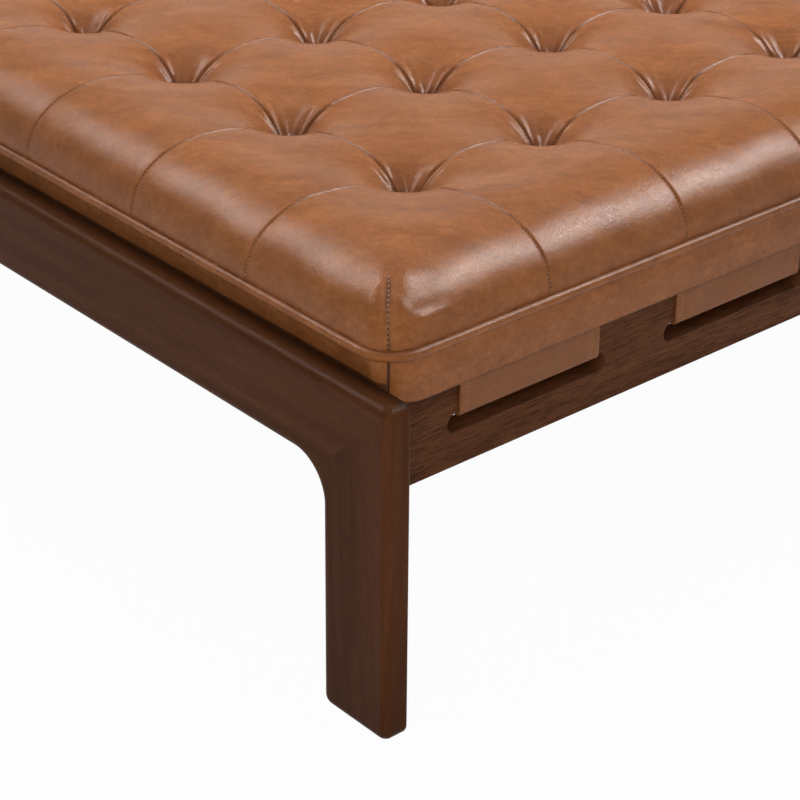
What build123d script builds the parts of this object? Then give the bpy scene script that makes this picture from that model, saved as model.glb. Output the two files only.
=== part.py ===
from build123d import *
import math
import os

# An ottoman coffee table. Two slab side frames stand at the left and right ends, a slotted cross rail
# joins them at the front and another at the back, and five leather straps run over the cross rails.
# A loose tufted cushion lies on the straps, between the side frames.
# X runs along the front rail, Y from front to back and Z up. The origin is on the floor, at the middle.

# Overall size
table_width = 1320.0
table_depth = 1030.0
frame_height = 305.0

# Side frames
board = 24.0
leg_width = 80.0
side_rail_depth = 80.0
inside_corner_radius = 35.0
frame_corner_radius = 10.0
outer_edge_radius = 8.0
inner_edge_radius = 3.0

# Loose tenons in the mitres of the side frames
tenon_thickness = 6.0
tenon_width = 22.0
tenon_length = 44.0
tenon_setback = 4.5
tenon_place_shares = (0.44, 0.76)
glue_gap = 0.1

# Glides under the legs
glide_height = 2.0
glide_radius = 6.5
glide_pin_radius = 1.5
glide_pin_length = 14.0
glide_spacing = 44.0

# Cross rails
rail_inset = 32.0
rail_thickness = 24.0
rail_height = 80.0
rail_drop = 17.5
rail_edge_radius = 3.0

# Straps and their slots
strap_count = 5
strap_width = 152.0
strap_end_margin = 76.0
strap_thickness = 2.5
strap_gap = 0.2
strap_end_length = 24.0
slot_side_room = 10.0
slot_height = 17.0
slot_edge_radius = 2.0
clamp_bar_height = 12.0
clamp_bar_thickness = 2.0
clamp_bar_margin = 8.0
clamp_bar_lift = 8.0
strap_screws_per_end = 3
strap_screw_margin = 14.0

# Stretchers between the cross rails
stretcher_thickness = 24.0
stretcher_height = 60.0

# Dowels
rail_dowel_radius = 5.0
rail_dowel_length = 50.0
rail_dowel_spacing = 44.0
stretcher_dowel_radius = 4.0
stretcher_dowel_length = 40.0
stretcher_dowel_spacing = 30.0
dowel_depth_in_board = 12.0

# Corner blocks and their screws
block_size = 40.0
block_margin = 8.0
block_edge_radius = 2.0
block_screw_outer_spacing = 46.0
block_screw_inner_spacing = 18.0
block_screw_offset = 12.0

# Screws
screw_bite = 12.0
screw_radius = 2.0
screw_head_radius = 4.0
screw_head_height = 2.4
screw_tip_length = 3.0

# Cushion
cushion_side_gap = 1.0
cushion_overhang = 2.0
cushion_rest_gap = 0.3
cushion_corner_radius = 32.0
crown_corner_radius = 28.0
border_height = 35.5
border_build = 4.0
welt_radius = 4.0
sewn_gap = 0.1
shoulder_run = 80.0
crown_rise = 58.0
shoulder_steps = 6
cloth_thickness = 1.2
foam_upper_inset = 16.0
foam_upper_height = 14.0

# Tufts
tufts_along_width = 7
tufts_along_depth = 5
tuft_margin_at_sides = 170.0
tuft_margin_at_ends = 175.0
tuft_depth = 34.0
tuft_reach = 74.0
seam_depth = 4.0
seam_reach = 26.0
cord_radius = 1.0
washer_radius = 10.0
washer_thickness = 1.5

# Zip in the bottom cloth
zip_length_in_pitches = 3
zip_width = 24.0
zip_setback = 60.0
zip_slider_length = 14.0
zip_slider_width = 8.0
zip_slider_height = 2.0

# One overrun for all cuts
overrun = 5.0

# Places that follow from the sizes
frame_top = glide_height + frame_height
inner_face_x = table_width / 2 - board
strap_pitch = (2 * inner_face_x - 2 * strap_end_margin - strap_width) / (strap_count - 1)
rail_top = frame_top - rail_drop
rail_bottom = rail_top - rail_height
rail_face_y = table_depth / 2 - rail_inset
rail_back_y = rail_face_y - rail_thickness
slot_middle = (rail_top + rail_bottom) / 2
slot_top = slot_middle + slot_height / 2
cushion_width = 2 * (inner_face_x - cushion_side_gap)
cushion_depth = 2 * (rail_face_y + cushion_overhang)
tuft_pitch_across = (cushion_width - 2 * tuft_margin_at_sides) / (tufts_along_width - 1)
tuft_pitch_along = (cushion_depth - 2 * tuft_margin_at_ends) / (tufts_along_depth - 1)
cushion_bottom = rail_top + strap_gap + strap_thickness + cushion_rest_gap
foam_bottom = cushion_bottom + cloth_thickness
welt_level = cushion_bottom + border_height
foam_top = welt_level + foam_upper_height
crown_top = welt_level + crown_rise


def centred(count, pitch):
    """Places of a row of like things, centred on zero."""
    return [(i - (count - 1) / 2) * pitch for i in range(count)]


strap_places = centred(strap_count, strap_pitch)
tuft_columns = centred(tufts_along_width, tuft_pitch_across)
tuft_rows = centred(tufts_along_depth, tuft_pitch_along)
tuft_places = [(x, y) for x in tuft_columns for y in tuft_rows]
stretcher_place = strap_pitch / 2


def slab(low, high):
    """A box between two opposite corners."""
    size = [b - a for a, b in zip(low, high)]
    middle = [(a + b) / 2 for a, b in zip(low, high)]
    return Pos(*middle) * Box(*size)


def rod(start, direction, radius, length):
    """A round bar from a point, along a direction."""
    from_start = (Align.CENTER, Align.CENTER, Align.MIN)
    return Plane(origin=start, z_dir=direction) * Cylinder(radius, length, align=from_start)


# Fasteners

def wood_screw(seat, direction, grip):
    """A pan-head screw: the head lies on its seat, and the shank runs through the grip into the wood."""
    length = grip + screw_bite
    shank_length = length - screw_tip_length
    shank = rod(seat, direction, screw_radius, shank_length)
    tip_plane = Plane(origin=seat, z_dir=direction).offset(shank_length)
    tip = tip_plane * Cone(screw_radius, screw_radius / 4, screw_tip_length,
                           align=(Align.CENTER, Align.CENTER, Align.MIN))
    back = Vector(*direction) * -1
    head = rod(seat, back, screw_head_radius, screw_head_height)
    head = fillet(head.faces().sort_by(Axis(seat, back))[-1].edges(), screw_head_height / 2)
    return shank + tip + head


def screw_hole(seat, direction, grip):
    """The hole that a screw's shank fills, with its fitting gap."""
    return rod(seat, direction, screw_radius + glue_gap, grip + screw_bite + glue_gap)


def strap_screw_seats(side):
    """Seats of the strap screws behind one cross rail: -1 is the front rail and 1 the back rail."""
    seat_y = side * (rail_back_y - strap_gap - strap_thickness - clamp_bar_thickness)
    seat_z = slot_top + clamp_bar_lift + clamp_bar_height / 2
    spread = strap_width - 2 * (clamp_bar_margin + strap_screw_margin)
    across = centred(strap_screws_per_end, spread / (strap_screws_per_end - 1))
    return [(x + dx, seat_y, seat_z) for x in strap_places for dx in across]


strap_screw_grip = strap_gap + strap_thickness + clamp_bar_thickness


def block_screw_lines(side_x, side_y):
    """Seat and direction of the four screws of one corner block."""
    middle = (rail_top + rail_bottom) / 2
    inner_x = side_x * (inner_face_x - block_size)
    inner_y = side_y * (rail_back_y - block_size)
    leg_y = side_y * (rail_back_y - block_screw_offset)
    rail_x = side_x * (inner_face_x - block_size / 2)
    to_leg = [((inner_x, leg_y, middle + dz), (side_x, 0, 0))
              for dz in centred(2, block_screw_outer_spacing)]
    to_rail = [((rail_x, inner_y, middle + dz), (0, side_y, 0))
               for dz in centred(2, block_screw_inner_spacing)]
    return to_leg + to_rail


def rail_dowel(side_x, side_y, dz, gap=0.0):
    """A dowel that runs from the leg into the end of a cross rail."""
    start = (side_x * (inner_face_x + dowel_depth_in_board + gap),
             side_y * (rail_face_y - rail_thickness / 2),
             (rail_top + rail_bottom) / 2 + dz)
    return rod(start, (-side_x, 0, 0), rail_dowel_radius + gap, rail_dowel_length + 2 * gap)


def stretcher_dowel(side_x, side_y, dz, gap=0.0):
    """A dowel that runs from a cross rail into the end of a stretcher."""
    start = (side_x * stretcher_place,
             side_y * (rail_back_y + dowel_depth_in_board + gap),
             rail_top - stretcher_height / 2 + dz)
    return rod(start, (0, -side_y, 0), stretcher_dowel_radius + gap, stretcher_dowel_length + 2 * gap)


sides = (-1, 1)
corners = [(side_x, side_y) for side_x in sides for side_y in sides]
rail_dowel_levels = centred(2, rail_dowel_spacing)
stretcher_dowel_levels = centred(2, stretcher_dowel_spacing)


# Side frames

def side_arch():
    """One whole side frame at the left: two legs and a rail, sawn and rounded before it is parted."""
    arch_height = frame_height - side_rail_depth
    outside = Pos(0, glide_height + frame_height / 2) * RectangleRounded(table_depth, frame_height,
                                                                         frame_corner_radius)
    opening = Pos(0, glide_height + arch_height / 2) * Rectangle(table_depth - 2 * leg_width, arch_height)
    opening = fillet(opening.vertices().group_by(Axis.Y)[-1], inside_corner_radius)
    outline = outside - opening
    foot_limit = table_depth / 2 - leg_width / 2
    feet = [v for v in outline.vertices().group_by(Axis.Y)[0] if abs(v.X) < foot_limit]
    outline = fillet(feet, frame_corner_radius)
    arch = extrude(Plane.YZ * outline, amount=board)
    arch = fillet(arch.faces().sort_by(Axis.X)[0].outer_wire().edges(), outer_edge_radius)
    arch = fillet(arch.faces().sort_by(Axis.X)[-1].outer_wire().edges(), inner_edge_radius)
    return Pos(-table_width / 2, 0, 0) * arch


def leg_side_of_mitre(side_y):
    """The space on the leg's side of a mitre, from the top corner to the inside corner and on down."""
    corner_y = side_y * table_depth / 2
    reach = inside_corner_radius
    high = (corner_y + side_y * reach, frame_top + reach * side_rail_depth / leg_width)
    deep_y = corner_y - side_y * (leg_width + reach)
    deep_z = frame_top - side_rail_depth - reach * side_rail_depth / leg_width
    points = [high, (deep_y, deep_z), (deep_y, -overrun), (high[0], -overrun)]
    wedge = extrude(Plane.YZ * make_face(Polyline(*points, close=True)), amount=board + 2 * overrun)
    return Pos(-table_width / 2 - overrun, 0, 0) * wedge


def mitre_tenon(side_x, side_y, share, gap=0.0):
    """A loose tenon with round edges, square to the mitre and near the outer face of the board."""
    place_y = side_y * (table_depth / 2 - share * leg_width)
    place_z = frame_top - share * side_rail_depth
    along_mitre = (0, side_y * leg_width, side_rail_depth)
    across_mitre = (0, -side_y * side_rail_depth, leg_width)
    place_x = side_x * (table_width / 2 - tenon_setback - tenon_thickness / 2)
    seat = Plane(origin=(place_x, place_y, place_z), x_dir=along_mitre, z_dir=across_mitre)
    outline = seat * SlotOverall(tenon_width + 2 * gap, tenon_thickness + 2 * gap)
    return extrude(outline, amount=tenon_length / 2 + gap, both=True)


def glide(side_x, side_y, dy):
    """A round glide with the pin that holds it in the foot."""
    flat_middle = (outer_edge_radius + board - inner_edge_radius) / 2
    place = (side_x * (table_width / 2 - flat_middle), side_y * (table_depth / 2 - leg_width / 2) + dy)
    disc = rod((*place, 0), (0, 0, 1), glide_radius, glide_height)
    disc = fillet(disc.edges().sort_by(Axis.Z)[0], glide_height / 2)
    return disc + rod((*place, glide_height), (0, 0, 1), glide_pin_radius, glide_pin_length)


def glide_hole(side_x, side_y, dy):
    """The hole for a glide's pin."""
    flat_middle = (outer_edge_radius + board - inner_edge_radius) / 2
    place = (side_x * (table_width / 2 - flat_middle), side_y * (table_depth / 2 - leg_width / 2) + dy)
    return rod((*place, glide_height - overrun), (0, 0, 1), glide_pin_radius + glue_gap,
               overrun + glide_pin_length + glue_gap)


def bored_for_joints(piece, side_x, side_y):
    """A leg or side rail with whichever mortises, dowel holes, screw holes and pin holes reach it."""
    for share in tenon_place_shares:
        piece -= mitre_tenon(side_x, side_y, share, glue_gap)
    for dz in rail_dowel_levels:
        piece -= rail_dowel(side_x, side_y, dz, glue_gap)
    for seat, direction in block_screw_lines(side_x, side_y):
        if direction[0]:
            piece -= screw_hole(seat, direction, block_size)
    for dy in centred(2, glide_spacing):
        piece -= glide_hole(side_x, side_y, dy)
    return piece


def side_frame(side_x):
    """The rail, front leg and back leg of one side frame."""
    arch = side_arch()
    wedges = [leg_side_of_mitre(side_y) for side_y in sides]
    rail = arch - wedges[0] - wedges[1]
    legs = [arch & wedge for wedge in wedges]
    if side_x > 0:
        rail = mirror(rail, about=Plane.YZ)
        legs = [mirror(leg, about=Plane.YZ) for leg in legs]
    for side_y in sides:
        rail = bored_for_joints(rail, side_x, side_y)
    legs = [bored_for_joints(leg, side_x, side_y) for leg, side_y in zip(legs, sides)]
    return rail, legs[0], legs[1]


# Cross rails, stretchers and corner blocks

def cross_rail(side_y):
    """A cross rail with its slots and the holes of all that is fixed to it."""
    near, far = sorted((side_y * rail_face_y, side_y * rail_back_y))
    rail = slab((-inner_face_x, near, rail_bottom), (inner_face_x, far, rail_top))
    rail = fillet(rail.edges().filter_by(Axis.X), rail_edge_radius)
    slot = SlotOverall(strap_width + 2 * slot_side_room, slot_height)
    for x in strap_places:
        place = Plane(origin=(x, (near + far) / 2, slot_middle), x_dir=(1, 0, 0), z_dir=(0, 1, 0))
        rail -= extrude(place * slot, amount=rail_thickness, both=True)
    for end in (0, -1):
        face = rail.faces().sort_by(Axis.Y)[end]
        edges = [edge for wire in face.inner_wires() for edge in wire.edges()]
        rail = fillet(edges, slot_edge_radius)
    for side_x in sides:
        for dz in rail_dowel_levels:
            rail -= rail_dowel(side_x, side_y, dz, glue_gap)
        for dz in stretcher_dowel_levels:
            rail -= stretcher_dowel(side_x, side_y, dz, glue_gap)
        for seat, direction in block_screw_lines(side_x, side_y):
            if direction[1]:
                rail -= screw_hole(seat, direction, block_size)
    for seat in strap_screw_seats(side_y):
        rail -= screw_hole(seat, (0, side_y, 0), strap_screw_grip)
    return rail


def stretcher(side_x):
    """A bar between the cross rails, in the room between two straps."""
    middle = side_x * stretcher_place
    bar = slab((middle - stretcher_thickness / 2, -rail_back_y, rail_top - stretcher_height),
               (middle + stretcher_thickness / 2, rail_back_y, rail_top))
    bar = fillet(bar.edges().filter_by(Axis.Y), rail_edge_radius)
    for side_y in sides:
        for dz in stretcher_dowel_levels:
            bar -= stretcher_dowel(side_x, side_y, dz, glue_gap)
    return bar


def corner_block(side_x, side_y):
    """A block in the corner between a cross rail and a leg, held by two screws each way."""
    xs = sorted((side_x * (inner_face_x - block_size), side_x * inner_face_x))
    ys = sorted((side_y * (rail_back_y - block_size), side_y * rail_back_y))
    block = slab((xs[0], ys[0], rail_bottom + block_margin), (xs[1], ys[1], rail_top - block_margin))
    free_edge = block.edges().filter_by(Axis.Z).sort_by_distance((0, 0, slot_middle))[0]
    block = fillet(free_edge, block_edge_radius)
    for seat, direction in block_screw_lines(side_x, side_y):
        block -= screw_hole(seat, direction, block_size)
    return block


# Straps

def strap_outline():
    """The strap seen from its edge: up behind one rail, through the slot, over the top and back down."""
    def half(offset):
        out = strap_gap + offset
        return [(rail_back_y - out, slot_top + strap_end_length), (rail_back_y - out, slot_top - out),
                (rail_face_y + out, slot_top - out), (rail_face_y + out, rail_top + out)]

    def line(offset):
        points = half(offset)
        mirrored = [(-y, z) for y, z in reversed(points)]
        slot_bend = slot_edge_radius + strap_gap + offset
        rail_bend = rail_edge_radius + strap_gap + offset
        radii = [slot_bend, slot_bend, rail_bend, rail_bend, slot_bend, slot_bend]
        return FilletPolyline(*points, *mirrored, radius=radii), points[0], mirrored[-1]

    inner, inner_start, inner_end = line(0.0)
    outer, outer_start, outer_end = line(strap_thickness)
    return make_face([inner, outer, Line(inner_start, outer_start), Line(inner_end, outer_end)])


def strap(x):
    """One leather strap with the screw holes in its two ends."""
    band = Pos(x, 0, 0) * extrude(Plane.YZ * strap_outline(), amount=strap_width / 2, both=True)
    for side_y in sides:
        for seat in strap_screw_seats(side_y):
            if abs(seat[0] - x) < strap_width / 2:
                band -= screw_hole(seat, (0, side_y, 0), strap_screw_grip)
    return band


def clamp_bar(x, side_y):
    """A flat bar that clamps a strap's end to the inner face of its rail."""
    length = strap_width - 2 * clamp_bar_margin
    strap_back = rail_back_y - strap_gap - strap_thickness
    ys = sorted((side_y * strap_back, side_y * (strap_back - clamp_bar_thickness)))
    low = slot_top + clamp_bar_lift
    bar = slab((x - length / 2, ys[0], low), (x + length / 2, ys[1], low + clamp_bar_height))
    for seat in strap_screw_seats(side_y):
        if abs(seat[0] - x) < strap_width / 2:
            bar -= screw_hole(seat, (0, side_y, 0), strap_screw_grip)
    return bar


# Cushion

def cushion_plan(inset, radius):
    """The cushion's outline from above, drawn in by an inset."""
    return RectangleRounded(cushion_width - 2 * inset, cushion_depth - 2 * inset, radius)


def plan_slab(inset, low, high):
    """A straight-sided slab on the cushion's outline."""
    outline = Pos(0, 0, low) * cushion_plan(inset, cushion_corner_radius - inset)
    return extrude(outline, amount=high - low)


def swell(reach, depth):
    """An arc that rises from a low point at the middle and levels out at its reach."""
    radius = (reach ** 2 + depth ** 2) / (2 * depth)
    turn = math.asin(reach / radius) / 2
    halfway = (reach - radius * math.sin(turn), radius * (math.cos(turn) - 1))
    return (0, -depth), halfway, (reach, 0)


def tuft_pit():
    """The dimple that a tuft draws in the crown, with its bottom at the cord."""
    low, halfway, rim = swell(tuft_reach, tuft_depth)
    outline = [ThreePointArc(low, halfway, rim), Line(rim, (tuft_reach, overrun)),
               Line((tuft_reach, overrun), (0, overrun)), Line((0, overrun), low)]
    return revolve(Plane.XZ * make_face(outline), axis=Axis.Z)


def seam_channel(length):
    """The shallow valley along a seam, running along Y."""
    low, halfway, rim = swell(seam_reach, seam_depth)
    left = [(-x, z) for x, z in (low, halfway, rim)]
    outline = [ThreePointArc(low, halfway, rim), ThreePointArc(*left), Line(rim, (seam_reach, overrun)),
               Line(left[2], (-seam_reach, overrun)), Line((seam_reach, overrun), (-seam_reach, overrun))]
    return extrude(Plane.XZ * make_face(outline), amount=length / 2, both=True)


def tufted_top():
    """The quilted top: rounded shoulders, sewn tufts and the seams between them."""
    sections = []
    for step in range(shoulder_steps + 1):
        turn = math.pi / 2 * step / shoulder_steps
        drawn_in = 1 - math.cos(turn)
        inset = sewn_gap + shoulder_run * drawn_in
        level = welt_level + crown_rise * math.sin(turn)
        radius = cushion_corner_radius + (crown_corner_radius - cushion_corner_radius) * drawn_in
        sections.append(Pos(0, 0, level) * cushion_plan(inset, radius))
    top = loft(sections)
    across, along = seam_channel(cushion_depth), Rot(0, 0, 90) * seam_channel(cushion_width)
    cuts = [Pos(x, 0, crown_top) * across for x in tuft_columns]
    cuts += [Pos(0, y, crown_top) * along for y in tuft_rows]
    pit = tuft_pit()
    cuts += [Pos(x, y, crown_top) * pit for x, y in tuft_places]
    top = top - cuts
    return top - plan_slab(foam_upper_inset, welt_level, foam_top)


def welt():
    """The piping round the cushion: a half round whose back lies on the cushion's side."""
    side = cushion_depth / 2
    ring_path = Pos(0, 0, welt_level) * cushion_plan(0, cushion_corner_radius)
    profile_plane = Plane(origin=(0, -side, welt_level), x_dir=(0, -1, 0), z_dir=(1, 0, 0))
    low, high = (0, -welt_radius), (0, welt_radius)
    profile = profile_plane * make_face([ThreePointArc(low, (welt_radius, 0), high), Line(high, low)])
    return sweep(profile, path=ring_path.face().outer_wire())


def border_band(side_x, side_y):
    """One strip of the border, from corner seam to corner seam."""
    half_x, half_y = cushion_width / 2 + overrun, cushion_depth / 2 + overrun
    ridge = half_x - half_y
    ring = plan_slab(0, cushion_bottom, welt_level) - plan_slab(border_build, cushion_bottom, welt_level)
    if side_y:
        points = [(-half_x, side_y * half_y), (half_x, side_y * half_y), (ridge, 0), (-ridge, 0)]
    else:
        points = [(side_x * half_x, -half_y), (side_x * half_x, half_y), (side_x * ridge, 0)]
    piece = Pos(0, 0, cushion_bottom) * make_face(Polyline(*points, close=True))
    return ring & extrude(piece, amount=border_height)


def foam_core():
    """The foam: a full-size base and a smaller upper step under the quilted top, bored for the cords."""
    foam = plan_slab(border_build, foam_bottom, welt_level)
    foam += plan_slab(foam_upper_inset, welt_level, foam_top)
    holes = [rod((x, y, foam_bottom), (0, 0, 1), cord_radius + glue_gap, foam_top - foam_bottom)
             for x, y in tuft_places]
    seats = [rod((x, y, foam_bottom), (0, 0, 1), washer_radius + glue_gap, washer_thickness + glue_gap)
             for x, y in tuft_places]
    return foam - holes - seats


zip_half_length = zip_length_in_pitches * strap_pitch / 2
zip_y = rail_back_y - zip_setback


def zip_opening(gap=0.0):
    """The place of the zip tape in the bottom cloth."""
    half_width = zip_width / 2 + gap
    return slab((-zip_half_length - gap, zip_y - half_width, cushion_bottom),
                (zip_half_length + gap, zip_y + half_width, foam_bottom))


def bottom_cloth():
    """The cloth that closes the cushion underneath, open where the zip lies."""
    return plan_slab(border_build, cushion_bottom, foam_bottom) - zip_opening(glue_gap)


def zip_slider():
    """The slider at the closed end of the zip, in the room between two straps."""
    end = zip_half_length
    body = slab((end - zip_slider_length, zip_y - zip_slider_width / 2, cushion_bottom - zip_slider_height),
                (end, zip_y + zip_slider_width / 2, cushion_bottom))
    return fillet(body.edges().filter_by(Axis.Z), zip_slider_width / 4)


def tuft_cord(x, y):
    """Twine from the back of a tuft down to its washer."""
    return rod((x, y, foam_bottom), (0, 0, 1), cord_radius, foam_top - foam_bottom)


def tuft_washer(x, y):
    """A disc under the foam that holds the twine."""
    disc = rod((x, y, foam_bottom), (0, 0, 1), washer_radius, washer_thickness)
    return disc - rod((x, y, foam_bottom), (0, 0, 1), cord_radius + glue_gap, washer_thickness)


# All the nodes

side_names = {-1: "left", 1: "right"}
end_names = {-1: "front", 1: "back"}
parts = {}
for side_x in sides:
    rail, front_leg, back_leg = side_frame(side_x)
    parts["side_rail_" + side_names[side_x]] = rail
    parts["leg_front_" + side_names[side_x]] = front_leg
    parts["leg_back_" + side_names[side_x]] = back_leg
    parts["stretcher_" + side_names[side_x]] = stretcher(side_x)
    parts["border_" + side_names[side_x]] = border_band(side_x, 0)
for side_y in sides:
    parts[end_names[side_y] + "_rail"] = cross_rail(side_y)
    parts["border_" + end_names[side_y]] = border_band(0, side_y)
for side_x, side_y in corners:
    name = "corner_block_" + end_names[side_y] + "_" + side_names[side_x]
    parts[name] = corner_block(side_x, side_y)
for number, x in enumerate(strap_places, start=1):
    parts["strap_" + str(number)] = strap(x)

parts["mitre_tenons"] = [mitre_tenon(*corner, share) for corner in corners
                         for share in tenon_place_shares]
parts["rail_dowels"] = [rail_dowel(*corner, dz) for corner in corners for dz in rail_dowel_levels]
parts["stretcher_dowels"] = [stretcher_dowel(*corner, dz) for corner in corners
                             for dz in stretcher_dowel_levels]
parts["block_screws"] = [wood_screw(seat, direction, block_size) for corner in corners
                         for seat, direction in block_screw_lines(*corner)]
parts["strap_clamp_bars"] = [clamp_bar(x, side_y) for x in strap_places for side_y in sides]
parts["strap_screws"] = [wood_screw(seat, (0, side_y, 0), strap_screw_grip) for side_y in sides
                         for seat in strap_screw_seats(side_y)]
parts["glides"] = [glide(*corner, dy) for corner in corners for dy in centred(2, glide_spacing)]

parts["tufted_top"] = tufted_top()
parts["welt"] = welt()
parts["foam_core"] = foam_core()
parts["bottom_cloth"] = bottom_cloth()
parts["tuft_cords"] = [tuft_cord(x, y) for x, y in tuft_places]
parts["tuft_washers"] = [tuft_washer(x, y) for x, y in tuft_places]
parts["zip_tape"] = zip_opening()
parts["zip_slider"] = zip_slider()

os.makedirs("parts", exist_ok=True)
for name, shape in parts.items():
    solid = Compound(children=shape) if isinstance(shape, list) else shape
    export_step(solid, os.path.join("parts", name + ".step"))
    print(name)
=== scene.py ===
# An ottoman coffee table: two slab side frames, slotted cross rails, leather straps and a tufted cushion.
# Lengths are in metres. X runs along the front rail, Y from front to back and Z up from the floor.
import math
import bpy
import numpy as np
from mathutils import Matrix, Vector


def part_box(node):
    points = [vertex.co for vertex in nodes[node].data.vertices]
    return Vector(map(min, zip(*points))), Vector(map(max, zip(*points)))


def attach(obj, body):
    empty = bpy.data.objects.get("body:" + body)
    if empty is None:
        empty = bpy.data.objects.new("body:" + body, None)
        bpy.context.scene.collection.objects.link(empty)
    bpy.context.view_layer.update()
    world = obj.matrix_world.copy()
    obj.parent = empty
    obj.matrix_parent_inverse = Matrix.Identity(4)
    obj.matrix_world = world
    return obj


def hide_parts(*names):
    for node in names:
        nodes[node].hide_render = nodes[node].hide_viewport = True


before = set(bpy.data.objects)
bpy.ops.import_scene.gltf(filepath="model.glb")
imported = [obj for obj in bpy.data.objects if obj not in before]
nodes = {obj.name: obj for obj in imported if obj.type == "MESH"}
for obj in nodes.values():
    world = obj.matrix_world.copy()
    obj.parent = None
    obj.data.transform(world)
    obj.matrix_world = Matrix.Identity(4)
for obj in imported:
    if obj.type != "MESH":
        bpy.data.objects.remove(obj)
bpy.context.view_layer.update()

bpy.ops.object.select_all(action="DESELECT")
bpy.context.scene.view_settings.view_transform = "Standard"

# Camera. It stands off the front left corner, a little above the table, and takes in that corner alone.
# Its place and turn are those at which the table's edges fall where the photograph has them.
camera_place = (-1.7698, -1.8056, 1.2663)
camera_heading = math.radians(49.004)
camera_dip = math.radians(29.088)
camera_roll = math.radians(0.561)
bpy.ops.object.camera_add()
camera = bpy.context.object
camera.data.lens = 118.14
camera.matrix_world = (Matrix.Translation(camera_place)
                       @ Matrix.Rotation(camera_heading - math.pi / 2, 4, "Z")
                       @ Matrix.Rotation(math.pi / 2 - camera_dip, 4, "X")
                       @ Matrix.Rotation(camera_roll, 4, "Z"))
bpy.context.scene.camera = camera

# Light. A wide softbox hangs beyond the table and a weaker one stands on the viewer's side. Bright cards
# that show in gloss alone give the bands of sheen on the shoulders. The room is pale, and white low down.
room_level = 0.15
gloss_sky_share = 0.26
sky_plain_above = 0.30
sky_white_below = 0.05
lit_point = (-0.45, -0.33, 0.37)
bpy.context.scene.world = bpy.data.worlds.new("pale_room")
bpy.context.scene.world.use_nodes = True


def set_up(tree, node, *feeds, **values):
    """Sets a node's properties and inputs. A node or an output that is given for an input feeds it."""
    sockets = list(enumerate(feeds))
    for name, value in values.items():
        if name in node.bl_rna.properties:
            setattr(node, name, value)
        else:
            sockets.append((name.replace("_", " "), value))
    for socket, value in sockets:
        if isinstance(value, bpy.types.Node):
            value = value.outputs[0]
        if isinstance(value, bpy.types.NodeSocket):
            tree.links.new(value, node.inputs[socket])
        else:
            node.inputs[socket].default_value = value
    return node


def add_node(tree, kind, *feeds, **values):
    """Adds a shader node and sets it up."""
    return set_up(tree, tree.nodes.new("ShaderNode" + kind), *feeds, **values)


def greatest(tree, *values):
    """The greatest of several values."""
    total = values[0]
    for value in values[1:]:
        total = add_node(tree, "Math", total, value, operation="MAXIMUM")
    return total


def softbox(name, bearing, distance, width, height, brightness, gloss_only):
    """A rectangular lamp that faces the table's near corner. It lights the table, or shows in gloss alone."""
    towards = Vector(bearing).normalized()
    bpy.ops.object.light_add(type="AREA", location=Vector(lit_point) + distance * towards)
    lamp = bpy.context.object
    lamp.name = name
    lamp.data.shape = "RECTANGLE"
    lamp.data.size = width
    lamp.data.size_y = height
    lamp.data.energy = brightness * math.pi * width * height
    lamp.rotation_euler = towards.to_track_quat("Z", "Y").to_euler()
    lamp.visible_glossy = gloss_only
    lamp.visible_diffuse = not gloss_only


room = bpy.context.scene.world.node_tree
rise = add_node(room, "SeparateXYZ", add_node(room, "TexCoord").outputs["Generated"])
low_sky = add_node(room, "MapRange", rise.outputs["Z"], From_Min=sky_plain_above, From_Max=sky_white_below,
                   To_Min=gloss_sky_share)
paths = add_node(room, "LightPath")
low_gloss = add_node(room, "Math", low_sky, paths.outputs["Is Glossy Ray"], operation="MULTIPLY")
shown = greatest(room, low_gloss, paths.outputs["Is Camera Ray"], paths.outputs["Is Transmission Ray"])
level = add_node(room, "MapRange", shown, To_Min=room_level, To_Max=1.0)
set_up(room, room.nodes["Background"], Color=(1, 1, 1, 1), Strength=level)
for lamp_values in (("key_softbox", (0.40, 0.42, 0.81), 2.8, 2.0, 2.0, 8.0, False),
                    ("near_softbox", (-0.57, -0.64, 0.51), 3.2, 1.6, 1.6, 5.6, False),
                    ("right_card", (0.645, -0.291, 0.706), 3.2, 1.5, 0.9, 37, True),
                    ("far_card", (-0.28, 0.636, 0.711), 3.2, 1.5, 0.9, 18.5, True),
                    ("low_card", (0.60, -0.60, 0.53), 3.2, 1.4, 1.4, 2, True),
                    ("top_card", (-0.23, -0.14, 0.96), 3.2, 0.8, 0.8, 8, True)):
    softbox(*lamp_values)

# Floor. A plain white sheet that runs out of sight on all sides, and keeps a soft shadow of the table.
# It is part of the stage and not of the table.
floor_reach = 30.0
floor_shadow_share = 0.03
bpy.ops.mesh.primitive_plane_add(size=floor_reach)
floor = bpy.context.object
floor.name = "floor"
floor_paint = bpy.data.materials.new("floor_white")
floor_paint.use_nodes = True
tree = floor_paint.node_tree
tree.nodes.clear()
path = add_node(tree, "LightPath")
seen = greatest(tree, *(path.outputs["Is " + ray + " Ray"] for ray in ("Camera", "Glossy", "Transmission")))
share = add_node(tree, "MapRange", seen, To_Min=0.0, To_Max=1 - floor_shadow_share)
matte = add_node(tree, "BsdfDiffuse", Color=(0.9, 0.9, 0.9, 1))
glow = add_node(tree, "Emission", Color=(1, 1, 1, 1))
add_node(tree, "OutputMaterial", Surface=add_node(tree, "MixShader", share, matte, glow))
floor.data.materials.append(floor_paint)

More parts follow.
